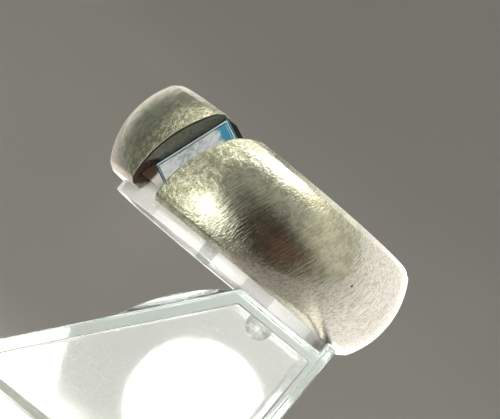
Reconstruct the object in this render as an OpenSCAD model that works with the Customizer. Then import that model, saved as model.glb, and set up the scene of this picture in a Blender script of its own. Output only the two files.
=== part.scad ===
// A wide domed silver ring lies on its side on a clear display stand, its axis upright.
// A slanted slot is cut right through the band, and a long step-cut aquamarine sits in it.
// The stand is a thin-walled clear wedge with a short clear tube that goes up the finger hole.
// Units are millimetres. The origin is on the ring's axis, at the foot of the stand.

/* [Band] */
// Inside diameter of the band, the finger size
bore_d = 18; // [16.5:0.1:20.5]
// Width of the band along its axis
band_w = 7.4; // [6.4:0.1:8.4]
// Thickness of the band at the crown of its dome
crown_t = 2.44; // [2.2:0.02:3]
// Thickness that the dome has where it would meet the flat rims
dome_foot_t = 1.25; // [1.1:0.05:1.6]
// Height of the outer bevel of each rim, along the ring's axis
rim_bevel_h = 0.36; // [0.1:0.02:0.5]
// Depth of the outer bevel of each rim, towards the bore
rim_bevel_t = 0.26; // [0.1:0.02:0.4]

/* [Slot] */
// Way round the band from the front to the slot
slot_az = 39.4; // [20:0.1:60]
// Slant of the slot from the ring's axis
slot_slant = 20.5; // [0:0.5:28]
// Width of the slot between its flat walls
slot_w = 2.6; // [2.2:0.05:3]
// Shift of the slot's middle away from the short end of the band
slot_shift = 0.07; // [0:0.01:0.2]
// Leg of the filed corner beside the slot, at the upper rim
filed_corner = 0.6; // [0.2:0.05:1]

/* [Stone] */
// Length of the stone along the slot
stone_l = 5.8; // [5:0.1:6.2]
// Clearance between the stone and the metal round it
stone_gap = 0.04; // [0.02:0.01:0.08]
// Distance of the middle of the table from the ring's axis, less the bore's radius
table_lift = 1.05; // [0.95:0.01:1.2]
// Shift of the stone along the slot towards the upper rim
stone_shift = 0.55; // [0.3:0.05:0.7]
// Tilt of the table, with the stone's lower end outwards
stone_tilt = 4; // [0:0.5:4]

/* [Stand] */
// Height of the stand's flat top
land_z = 15.4; // [12:0.1:18]
// Thickness of the stand's walls
wall_t = 0.87; // [0.6:0.01:1.2]
// Left end of the stand, from the ring's axis
base_left = 10.1; // [9:0.1:11]
// Right end of the stand, from the ring's axis
base_right = 9.4; // [9.2:0.1:11]
// Depth of the stand from front to back
base_depth = 19.5; // [16:0.1:22]
// Left end of the flat top, from the ring's axis
land_left = 1.95; // [1:0.05:3]
// Height of the upright face at the foot of the slope
toe_h = 0.45; // [0.3:0.05:1]

/* [Hidden] */

// Gap between neighbouring pieces that only touch
seat_gap = 0.05;
// How far a cutting shape runs past what it cuts
past = 1;

bore_r = bore_d / 2;
crown_r = bore_r + crown_t;
half_w = band_w / 2;
dome_rise = crown_t - dome_foot_t;
// Radius of the arc that runs over the crown from rim to rim
dome_r = (half_w * half_w + dome_rise * dome_rise) / (2 * dome_rise);
// Lean of the line from the rim's bevel out to where the dome is cut, off the ring's axis
bevel_lean = 35;
// Bevel at both ends of the bore
bore_bevel = 0.12;

// The band's lower rim stands this far above the flat top, on the ledge and not on the tube's foot
rim_lift = 0.9;
band_z = land_z + rim_lift + half_w;

// The stone's stepped outline from the girdle inwards: run along the table and rise for each step
crown_steps = [[0.28, 0.14], [0.12, 0.005], [0.2, 0.105]];
// The same steps at the stone's two ends, where they are narrower
end_steps = [[0.13, 0.14], [0.03, 0.005], [0.15, 0.105]];
girdle_h = 0.1;
pavilion_steps = [[0.3, 0.2], [0.6, 0.25]];
stone_w = slot_w - 2 * stone_gap;
// How far a swept outline of the stone runs past it, before the other one meets it
sweep_over = 2;

// The seat: rails under the girdle and a bar at each end, with a window under the stone
// How far the seat runs down the slot from the stone's middle
seat_foot = 4;
// How far the seat runs on past the stone's upper end
seat_bar = 0.3;
// The seat's top, below the table
seat_drop = 0.4;
// The seat's lower end, below the band's middle
seat_low = 2.85;
window_w = 1.3;
window_l = 4.4;
// How far the seat runs into the slot's walls, so that it is one with them
seat_root = 0.3;

// The tube of the stand
clip_r = bore_r - 0.07;
clip_t = 0.83;
// The tube's top, below the band's upper rim
clip_top_drop = 0.5;
clip_bottom = land_z + seat_gap;
clip_top = band_z + half_w - clip_top_drop;

// The raised ledge along the right wall, under the band's lower rim
ledge_top = land_z + rim_lift - seat_gap;
ledge_w = 0.85;

// The low swell across the upper half of the slope
swell_rise = 0.56;
swell_chord = 7.9;
swell_margin = 1.15;
// The chord's middle, as a share of the slope from its foot
swell_place = 0.773;

// The round boss under the flat top, inside the stand
boss_r = 0.95;
boss_drop = 0.3;
boss_x = 4.5;
boss_y = -5.6;

slope_run = base_left + land_left;
slope_rise = land_z - toe_h;
slope_a = atan2(slope_rise, slope_run);

// A profile of the stone, half its size across, w up from the table; grow makes the seat's cut
function side(half, steps, grow) =
    let (run1 = steps[0][0], run2 = steps[1][0], run3 = steps[2][0],
         rise1 = steps[0][1], rise2 = steps[1][1], rise3 = steps[2][1],
         in1 = pavilion_steps[0][0], in2 = pavilion_steps[1][0],
         drop1 = pavilion_steps[0][1], drop2 = pavilion_steps[1][1],
         girdle_w = -rise3 - rise2 - rise1)
    [
        [half + grow - run1 - run2 - run3, grow],
        [half + grow - run1 - run2, grow - rise3],
        [half + grow - run1, grow - rise3 - rise2],
        [half + grow, grow + girdle_w],
        [half + grow, girdle_w - girdle_h - grow],
        [half + grow - in1, girdle_w - girdle_h - drop1 - grow],
        [half + grow - in1 - in2, girdle_w - girdle_h - drop1 - drop2 - grow]
    ];

function mirrored(points) = [for (i = [len(points) - 1 : -1 : 0]) [-points[i][0], points[i][1]]];

function closed_profile(half, steps, grow) =
    concat(side(half, steps, grow), mirrored(side(half, steps, grow)));

// Places a child at the slot: X across it, Y along it towards the upper rim, Z outwards
module at_slot() {
    translate([0, 0, band_z])
        rotate([0, 0, -slot_az])
            rotate([0, slot_slant, 0])
                rotate([90, 0, 0])
                    translate([slot_shift, 0, 0])
                        children();
}

// Places a child on the stone's table, with the stone's shift and tilt
module at_table() {
    at_slot()
        translate([0, stone_shift, bore_r + table_lift])
            rotate([-stone_tilt, 0, 0])
                children();
}

// The stepped stone: its section swept along it, met by its side view swept across it
module step_cut(grow) {
    intersection() {
        rotate([90, 0, 0])
            linear_extrude(stone_l + 2 * sweep_over, center = true)
                polygon(closed_profile(stone_w / 2, crown_steps, grow));
        rotate([90, 0, 90])
            linear_extrude(stone_w + 2 * sweep_over, center = true)
                polygon(closed_profile(stone_l / 2, end_steps, grow));
    }
}

// Section of the band: flat inside, domed outside, with bevelled rims
module band_section() {
    foot_r = bore_r + dome_foot_t;
    intersection() {
        translate([crown_r - dome_r, 0])
            circle(r = dome_r, $fn = 160);
        polygon([
            [bore_r + bore_bevel, -half_w],
            [foot_r - rim_bevel_t, -half_w],
            [foot_r + rim_bevel_h * tan(bevel_lean), rim_bevel_h - half_w],
            [crown_r + past, rim_bevel_h - half_w],
            [crown_r + past, half_w - rim_bevel_h],
            [foot_r + rim_bevel_h * tan(bevel_lean), half_w - rim_bevel_h],
            [foot_r - rim_bevel_t, half_w],
            [bore_r + bore_bevel, half_w],
            [bore_r, half_w - bore_bevel],
            [bore_r, bore_bevel - half_w]
        ]);
    }
}

module slot_cut() {
    at_slot()
        translate([0, 0, bore_r - past])
            translate([-slot_w / 2, -band_w, 0])
                cube([slot_w, 2 * band_w, crown_t + 2 * past]);
}

// The corner beside the slot's upper end, filed off square to the rim and the slot
module filed_corner_cut() {
    corner_x = half_w * tan(slot_slant) + (slot_w / 2 + slot_shift) / cos(slot_slant);
    side = filed_corner * sqrt(2);
    translate([0, 0, band_z])
        rotate([0, 0, -slot_az])
            translate([corner_x, -crown_r, half_w])
                rotate([0, 45, 0])
                    cube([side, 2 * crown_t + 2 * past, side], center = true);
}

// The seat runs level with the stone; only its lower end is square to the ring's axis
module seat() {
    long = seat_foot + stone_l / 2 + seat_bar;
    intersection() {
        at_table()
            translate([-slot_w / 2 - seat_root, -seat_foot, -table_lift - past])
                cube([slot_w + 2 * seat_root, long, table_lift + past - seat_drop]);
        translate([0, 0, band_z - seat_low])
            cylinder(r = crown_r, h = seat_low + half_w - bore_bevel, $fn = 180);
    }
}

module seat_window() {
    at_table()
        translate([-window_w / 2, -window_l / 2, -crown_t])
            cube([window_w, window_l, 2 * crown_t]);
}

module band() {
    color("silver")
        difference() {
            union() {
                difference() {
                    translate([0, 0, band_z])
                        rotate_extrude($fn = 180)
                            band_section();
                    slot_cut();
                    filed_corner_cut();
                }
                seat();
            }
            translate([0, 0, band_z - band_w])
                cylinder(r = bore_r, h = 2 * band_w, $fn = 180);
            at_table()
                step_cut(stone_gap);
            seat_window();
        }
}

module aquamarine() {
    color([0.42, 0.74, 0.82, 0.7])
        at_table()
            step_cut(0);
}

module clip_loop() {
    color([0.92, 0.95, 0.92, 0.4])
        translate([0, 0, clip_bottom])
            difference() {
                cylinder(r = clip_r, h = clip_top - clip_bottom, $fn = 180);
                translate([0, 0, -past])
                    cylinder(r = clip_r - clip_t, h = clip_top - clip_bottom + 2 * past, $fn = 180);
            }
}

// Side view of the stand: foot, slope, flat top and the ledge on the right wall
module base_outline() {
    polygon([
        [-base_left, 0],
        [-base_left, toe_h],
        [land_left, land_z],
        [base_right - ledge_w, land_z],
        [base_right - ledge_w, ledge_top],
        [base_right, ledge_top],
        [base_right, 0]
    ]);
}

// Side view of the hollow, open below, one wall in from the outline
module hollow_outline() {
    drop = wall_t / cos(slope_a);
    ceiling = land_z - wall_t;
    function slope_x(z) = (z + drop - toe_h) / tan(slope_a) - base_left;
    polygon([
        [slope_x(-past), -past],
        [slope_x(ceiling), ceiling],
        [base_right - wall_t, ceiling],
        [base_right - wall_t, -past]
    ]);
}

// The swell's arc over the slope, in the slope's own frame: X up the slope, Y out of it
module swell_outline() {
    swell_r = (swell_chord * swell_chord / 4 + swell_rise * swell_rise) / (2 * swell_rise);
    slope_l = sqrt(slope_run * slope_run + slope_rise * slope_rise);
    translate([-base_left, toe_h])
        rotate(slope_a)
            translate([swell_place * slope_l, 0])
                intersection() {
                    translate([0, swell_rise - swell_r])
                        circle(r = swell_r, $fn = 160);
                    translate([-swell_chord / 2, -wall_t / 2])
                        square([swell_chord, wall_t / 2 + swell_rise + past]);
                }
}

// Sweeps a side view across the stand, less a margin at both ends
module across(margin) {
    rotate([90, 0, 0])
        linear_extrude(base_depth - 2 * margin, center = true)
            children();
}

module boss() {
    translate([boss_x, boss_y, land_z - wall_t - boss_drop]) {
        cylinder(r = boss_r, h = boss_drop + wall_t / 2, $fn = 64);
        sphere(r = boss_r, $fn = 64);
    }
}

module stand_base() {
    color([0.92, 0.95, 0.92, 0.4])
        difference() {
            union() {
                difference() {
                    across(0)
                        base_outline();
                    across(wall_t)
                        hollow_outline();
                }
                across(swell_margin)
                    swell_outline();
                boss();
            }
            translate([0, 0, land_z])
                cylinder(r = clip_r + seat_gap, h = rim_lift + past, $fn = 180);
        }
}

band();
aquamarine();
clip_loop();
stand_base();
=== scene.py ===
"""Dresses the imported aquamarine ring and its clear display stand, and lights them in a small studio.

Sizes in the classes are millimetres, as in the model's source. Meshes, lamps and the camera are in metres.
"""

import logging
import math
from collections.abc import Callable, Sequence
from dataclasses import dataclass, field
from enum import Enum

import bmesh
import bpy
from mathutils import Matrix, Vector, noise


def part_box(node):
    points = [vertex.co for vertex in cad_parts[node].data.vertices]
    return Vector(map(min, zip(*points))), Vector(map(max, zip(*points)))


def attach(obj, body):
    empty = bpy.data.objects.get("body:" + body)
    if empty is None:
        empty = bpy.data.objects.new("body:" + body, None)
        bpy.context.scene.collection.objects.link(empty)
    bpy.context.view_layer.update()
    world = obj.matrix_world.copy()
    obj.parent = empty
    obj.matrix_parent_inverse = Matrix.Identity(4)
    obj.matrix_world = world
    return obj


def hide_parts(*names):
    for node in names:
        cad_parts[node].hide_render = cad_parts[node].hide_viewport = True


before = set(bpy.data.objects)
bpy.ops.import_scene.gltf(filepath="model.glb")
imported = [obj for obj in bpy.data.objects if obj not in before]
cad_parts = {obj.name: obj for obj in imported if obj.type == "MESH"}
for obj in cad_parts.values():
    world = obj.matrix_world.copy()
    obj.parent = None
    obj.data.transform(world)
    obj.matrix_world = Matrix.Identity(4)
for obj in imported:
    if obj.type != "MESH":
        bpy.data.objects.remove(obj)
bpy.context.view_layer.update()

MM = 0.001
BORE_R = 9.0
# A corner's rounding takes up no more than this share of the shorter side next to it
MOST_OF_SIDE = 0.45
LOG = logging.getLogger("ring")


class Side(Enum):
    """The two walls of the slot: the main body's and the short end's."""

    MAIN = 1
    CAP = -1


class Join(Enum):
    """How one solid is combined with another."""

    ADD = "UNION"
    CUT = "DIFFERENCE"
    KEEP = "INTERSECT"


class LampFace(Enum):
    """The outline of a lamp's face."""

    OBLONG = "RECTANGLE"
    ROUND = "ELLIPSE"


@dataclass
class Spot:
    """A point of a mesh in millimetres, with what its finish reads there."""

    place: Vector
    wrap: Vector = field(default_factory=lambda: Vector((0.0, 0.0, 0.0)))
    wall: float = 0.0
    polish: float = 0.0


Piece = bpy.types.Object
Faces = list[tuple[int, ...]]
Outline = list[Vector]
Steps = tuple[tuple[float, float], ...]
Colour = tuple[float, float, float, float]
Socket = bpy.types.NodeSocket
Value = Socket | float
Triple = Socket | tuple[float, float, float]
Paint = Socket | Colour


def smoothstep(low: float, high: float, value: float) -> float:
    """Returns 0 at low and 1 at high, turning smoothly between them."""
    t = min(1.0, max(0.0, (value - low) / (high - low)))
    return t * t * (3 - 2 * t)


def corner_box(node: str) -> tuple[Vector, Vector]:
    """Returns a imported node's lowest and highest corner in millimetres."""
    low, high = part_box(node)
    return low / MM, high / MM


def rounded(corners: Outline, radii: Sequence[float], steps: int = 4) -> Outline:
    """Rounds the corners of a closed flat outline.

    Args:
        corners: the outline's corners in order.
        radii: a radius for each corner, or 0 where it stays a point.
        steps: how many straight pieces make one rounded corner.

    Returns:
        The points of the rounded outline.
    """
    points = []
    for i, here in enumerate(corners):
        if radii[i] <= 0:
            points.append(here.copy())
            continue
        back = corners[i - 1] - here
        ahead = corners[(i + 1) % len(corners)] - here
        half = back.angle(ahead) / 2
        reach = min(radii[i] / math.tan(half), MOST_OF_SIDE * back.length, MOST_OF_SIDE * ahead.length)
        radius = reach * math.tan(half)
        centre = here + (back.normalized() + ahead.normalized()).normalized() * radius / math.sin(half)
        start = here + back.normalized() * reach - centre
        sweep = math.pi - 2 * half
        turn = 1 if back.x * ahead.y - back.y * ahead.x < 0 else -1
        for k in range(steps + 1):
            a = turn * sweep * k / steps
            arm = Vector((start.x * math.cos(a) - start.y * math.sin(a),
                          start.x * math.sin(a) + start.y * math.cos(a)))
            points.append(centre + arm)
    return points


def subdivided(points: Outline, longest: float) -> Outline:
    """Adds points to a closed outline so that no piece of it is too long.

    Args:
        points: the outline's points in order.
        longest: how long a piece may be.

    Returns:
        The outline with the points added.
    """
    out = []
    for i, here in enumerate(points):
        ahead = points[(i + 1) % len(points)]
        parts = max(1, math.ceil((ahead - here).length / longest))
        out.extend(here.lerp(ahead, k / parts) for k in range(parts))
    return out


def inset(points: Outline, depth: float) -> Outline:
    """Moves each point of a closed outline inwards.

    Args:
        points: the outline's points, listed anticlockwise.
        depth: how far they move.

    Returns:
        The moved points.
    """
    out = []
    for i, here in enumerate(points):
        along = (points[(i + 1) % len(points)] - points[i - 1]).normalized()
        out.append(here + Vector((-along.y, along.x)) * depth)
    return out


def edge_rounding(radius: float, steps: int) -> list[tuple[float, float]]:
    """Returns (inset, way in) pairs that round an end of a swept solid, from its end face inwards."""
    quarter = [math.pi / 2 * k / steps for k in range(steps + 1)]
    return [(radius * (1 - math.sin(a)), radius * (1 - math.cos(a))) for a in quarter]


def loft(rings: list[list[Spot]]) -> tuple[list[Spot], Faces]:
    """Joins closed rings into a closed solid, with a flat face at both ends.

    Args:
        rings: the rings in order, with as many points in each.

    Returns:
        The solid's points and faces.
    """
    count = len(rings[0])
    faces: Faces = []
    for i in range(len(rings) - 1):
        for j in range(count):
            k = (j + 1) % count
            faces.append((i * count + j, i * count + k, (i + 1) * count + k, (i + 1) * count + j))
    last = (len(rings) - 1) * count
    faces.append(tuple(range(count - 1, -1, -1)))
    faces.append(tuple(range(last, last + count)))
    return [spot for ring in rings for spot in ring], faces


def through_levels(half: float, edge: float, pieces: int) -> list[tuple[float, float]]:
    """Returns (inset, depth) pairs from front to back, for a solid with rounded ends.

    Args:
        half: how far the solid reaches to the front and to the back.
        edge: the radius of its rounded ends.
        pieces: how many pieces make the straight part between them.

    Returns:
        The pairs, from the front to the back.
    """
    front = [(depth, half - back) for depth, back in edge_rounding(edge, 4)]
    middle = [(0.0, (half - edge) * (1 - 2 * k / pieces)) for k in range(1, pieces)]
    return front + middle + [(depth, -y) for depth, y in reversed(front)]


def swept(side_view: Callable[[float], Outline],
          levels: list[tuple[float, float]]) -> tuple[list[Spot], Faces]:
    """Lofts a side view of (x, z) points, which may change with depth, through (inset, depth) pairs."""
    return loft([[Spot(Vector((p.x, y, p.y))) for p in inset(side_view(y), depth)] for depth, y in levels])


def lathe(profile: Outline, sides: int, centre: Vector) -> list[list[Spot]]:
    """Turns a profile into rings round an upright axis.

    Args:
        profile: the profile's (radius, height) points.
        sides: how many points make a ring.
        centre: a point of the axis.

    Returns:
        A ring for each point of the profile.
    """
    turns = [2 * math.pi * k / sides for k in range(sides)]
    return [[Spot(Vector((p.x * math.cos(a), p.x * math.sin(a), p.y)) + centre) for a in turns]
            for p in profile]


def revolve(profile: Outline, sides: int,
            wobble: Callable[[float, Vector], float]) -> tuple[list[Spot], Faces]:
    """Turns a closed profile of (radius, height) points about the vertical axis.

    Args:
        profile: the profile's points in order.
        sides: how many steps make the turn.
        wobble: gives a small change of radius for an angle and a profile point.

    Returns:
        The solid's points and faces.
    """
    spots, faces = [], []
    count = len(profile)
    for i in range(sides):
        a = 2 * math.pi * i / sides
        for p in profile:
            r = p.x + wobble(a, p)
            spots.append(Spot(Vector((r * math.sin(a), -r * math.cos(a), p.y))))
        for j in range(count):
            k, m = (j + 1) % count, (i + 1) % sides
            faces.append((i * count + j, i * count + k, m * count + k, m * count + j))
    return spots, faces


def make_object(name: str, spots: list[Spot], faces: Faces, seat: float = 0.0) -> Piece:
    """Makes a mesh object, in metres, that keeps the spots' attributes.

    Args:
        name: the object's name.
        spots: the points in millimetres.
        faces: the faces as indices of spots.
        seat: 1 for what makes the stone's seat, else 0.

    Returns:
        The new object, linked to the scene.
    """
    mesh = bpy.data.meshes.new(name)
    mesh.from_pydata([s.place * MM for s in spots], [], faces)
    wrap = mesh.attributes.new("wrap", "FLOAT_VECTOR", "POINT")
    wrap.data.foreach_set("vector", [x for s in spots for x in s.wrap])
    for kind in ("wall", "polish"):
        marks = [getattr(s, kind) for s in spots]
        mesh.attributes.new(kind, "FLOAT", "POINT").data.foreach_set("value", marks)
    mesh.attributes.new("seat", "FLOAT", "FACE").data.foreach_set("value", [seat] * len(faces))
    tidy = bmesh.new()
    tidy.from_mesh(mesh)
    bmesh.ops.recalc_face_normals(tidy, faces=tidy.faces)
    tidy.to_mesh(mesh)
    tidy.free()
    obj = bpy.data.objects.new(name, mesh)
    bpy.context.scene.collection.objects.link(obj)
    return obj


def cuboid(name: str, place: Matrix, low: Vector, high: Vector) -> Piece:
    """Makes a box of the seat.

    Args:
        name: the object's name.
        place: the matrix that puts the box in place.
        low: its lowest corner in millimetres, before it is put in place.
        high: its highest corner.

    Returns:
        The box as an object.
    """
    ends = (low, high)
    spots = [Spot(place @ Vector((ends[i].x, ends[j].y, ends[k].z)), wall=1.0)
             for i in (0, 1) for j in (0, 1) for k in (0, 1)]
    faces = [(0, 1, 3, 2), (4, 6, 7, 5), (0, 4, 5, 1), (2, 3, 7, 6), (0, 2, 6, 4), (1, 5, 7, 3)]
    return make_object(name, spots, faces, seat=1.0)


def apply_modifiers(obj: Piece) -> None:
    """Replaces an object's mesh by the one that its modifiers make.

    Args:
        obj: the object.
    """
    graph = bpy.context.evaluated_depsgraph_get()
    made = bpy.data.meshes.new_from_object(obj.evaluated_get(graph))
    old = obj.data
    obj.modifiers.clear()
    obj.data = made
    made.name = obj.name
    bpy.data.meshes.remove(old)


def combine(body: Piece, tool: Piece, how: Join) -> None:
    """Combines an object with another one, and deletes the other.

    Args:
        body: the object that is changed.
        tool: the object that it is combined with.
        how: whether tool is added or cut away, or only what it covers of body is kept.
    """
    step = body.modifiers.new("combine", "BOOLEAN")
    step.object = tool
    step.operation = how.value
    step.solver = "EXACT"
    apply_modifiers(body)
    gone = tool.data
    bpy.data.objects.remove(tool)
    bpy.data.meshes.remove(gone)


def shade(obj: Piece, crease: float) -> None:
    """Shades an object smooth, with edges sharper than crease, in degrees, kept as creases."""
    obj.data.shade_smooth()
    obj.data.set_sharp_from_angle(angle=math.radians(crease))


def keep_flats(obj: Piece) -> None:
    """Lets the large flat faces keep their own normals, so that they don't look bent when seen through.

    Args:
        obj: the object.
    """
    step = obj.modifiers.new("flats", "WEIGHTED_NORMAL")
    step.keep_sharp = True
    apply_modifiers(obj)


def settle(obj: Piece, node: str) -> None:
    """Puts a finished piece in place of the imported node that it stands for.

    Args:
        obj: the piece.
        node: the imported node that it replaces.
    """
    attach(obj, "root")
    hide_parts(node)
    LOG.info("%s: %d faces", obj.name, len(obj.data.polygons))


@dataclass(frozen=True)
class Slot:
    """The slanted slot cut through the band.

    Its frame has X across the slot, Y along it towards the upper rim and Z outwards.
    """

    band_z: float
    half_w: float
    azimuth: float = math.radians(39.4)
    slant: float = math.radians(20.5)
    width: float = 2.6
    shift: float = 0.07
    filed_leg: float = 0.6

    def wall_x(self, z: float, side: Side, back: float) -> float:
        """Finds a wall of the slot at one height.

        Args:
            z: height above the band's middle.
            side: which wall.
            back: how far behind the wall, in the metal, the point lies.

        Returns:
            The point's distance from the plane through the ring's axis and the slot's middle.
        """
        across = side.value * (self.width / 2 + back) + self.shift
        wall = (across + z * math.sin(self.slant)) / math.cos(self.slant)
        if side is Side.CAP:
            return wall
        corner = self.half_w * math.tan(self.slant) + (self.width / 2 + self.shift) / math.cos(self.slant)
        filed = corner + self.filed_leg - (self.half_w - z) + back * math.sqrt(2)
        return max(wall, filed)

    def wall_angle(self, r: float, z: float, side: Side, back: float) -> float:
        """Returns the way round from the slot's middle to a wall, for a point at radius r."""
        angle = math.asin(self.wall_x(z, side, back) / r)
        return angle if side is Side.MAIN else angle + 2 * math.pi

    def frame(self) -> Matrix:
        """Returns the matrix of the slot's frame."""
        return (Matrix.Translation((0, 0, self.band_z))
                @ Matrix.Rotation(-self.azimuth, 4, "Z")
                @ Matrix.Rotation(self.slant, 4, "Y")
                @ Matrix.Rotation(math.pi / 2, 4, "X")
                @ Matrix.Translation((self.shift, 0, 0)))


@dataclass
class Stone:
    """The long step-cut aquamarine, level with its seat in the slot.

    Steps are (run, rise) from the girdle to the table, and (run, drop) from the girdle down.
    """

    slot: Slot
    bore_r: float = BORE_R
    length: float = 5.8
    gap: float = 0.04
    table_lift: float = 1.05
    shift: float = 0.55
    tilt: float = math.radians(4)
    crown_steps: Steps = ((0.28, 0.14), (0.12, 0.005), (0.20, 0.105))
    end_runs: tuple[float, ...] = (0.13, 0.03, 0.15)
    girdle_h: float = 0.1
    pavilion_steps: Steps = ((0.3, 0.2), (0.6, 0.25))
    facet_edge: float = 0.012

    def frame(self) -> Matrix:
        """Returns the matrix of the table's frame, where Z is 0 on the table."""
        lift = Matrix.Translation((0, self.shift, self.bore_r + self.table_lift))
        return self.slot.frame() @ lift @ Matrix.Rotation(-self.tilt, 4, "X")

    def levels(self, runs: tuple[float, ...], grow: float) -> list[tuple[float, float]]:
        """Finds the stone's outline on one side.

        Args:
            runs: how far each crown step runs in, from the girdle to the table.
            grow: how much the stone is grown on every side.

        Returns:
            (narrowing, height) of each level from the table down.
        """
        rises = [rise for _, rise in self.crown_steps]
        crown = [(sum(runs[:i]) - grow, grow - sum(rises[i:])) for i in range(len(runs), -1, -1)]
        narrow, height = -grow, -sum(rises) - self.girdle_h - grow
        below = [(narrow, height)]
        for run, drop in self.pavilion_steps:
            narrow, height = narrow + run, height - drop
            below.append((narrow, height))
        return crown + below

    def solid(self, name: str, grow: float) -> Piece:
        """Makes the stepped stone, or the seat's cut for it.

        Args:
            name: the object's name.
            grow: how much it is grown on every side: 0 for the stone, its clearance for the cut.

        Returns:
            The solid as an object.
        """
        half_w = self.slot.width / 2 - self.gap
        half_l = self.length / 2
        rings = []
        side_runs = tuple(run for run, _ in self.crown_steps)
        sides, ends = self.levels(side_runs, grow), self.levels(self.end_runs, grow)
        for (narrow, height), (shorter, _) in zip(sides, ends):
            x, y = half_w - narrow, half_l - shorter
            corners = [Vector((sx * x, sy * y, height)) for sx, sy in ((-1, -1), (1, -1), (1, 1), (-1, 1))]
            rings.append([Spot(self.frame() @ c, wrap=c, wall=1.0) for c in corners])
        return make_object(name, *loft(rings), seat=1.0)

    def build(self) -> Piece:
        """Makes the stone, its facet edges a little blunted by polishing.

        Returns:
            The stone as an object.
        """
        stone = self.solid("aquamarine_stone", 0.0)
        mesh = bmesh.new()
        mesh.from_mesh(stone.data)
        bmesh.ops.bevel(mesh, geom=mesh.edges[:], offset=self.facet_edge * MM, segments=1, affect="EDGES")
        mesh.to_mesh(stone.data)
        mesh.free()
        back = self.frame().inverted()
        local = [x for v in stone.data.vertices for x in back @ (v.co / MM)]
        stone.data.attributes["wrap"].data.foreach_set("vector", local)
        return stone


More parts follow.
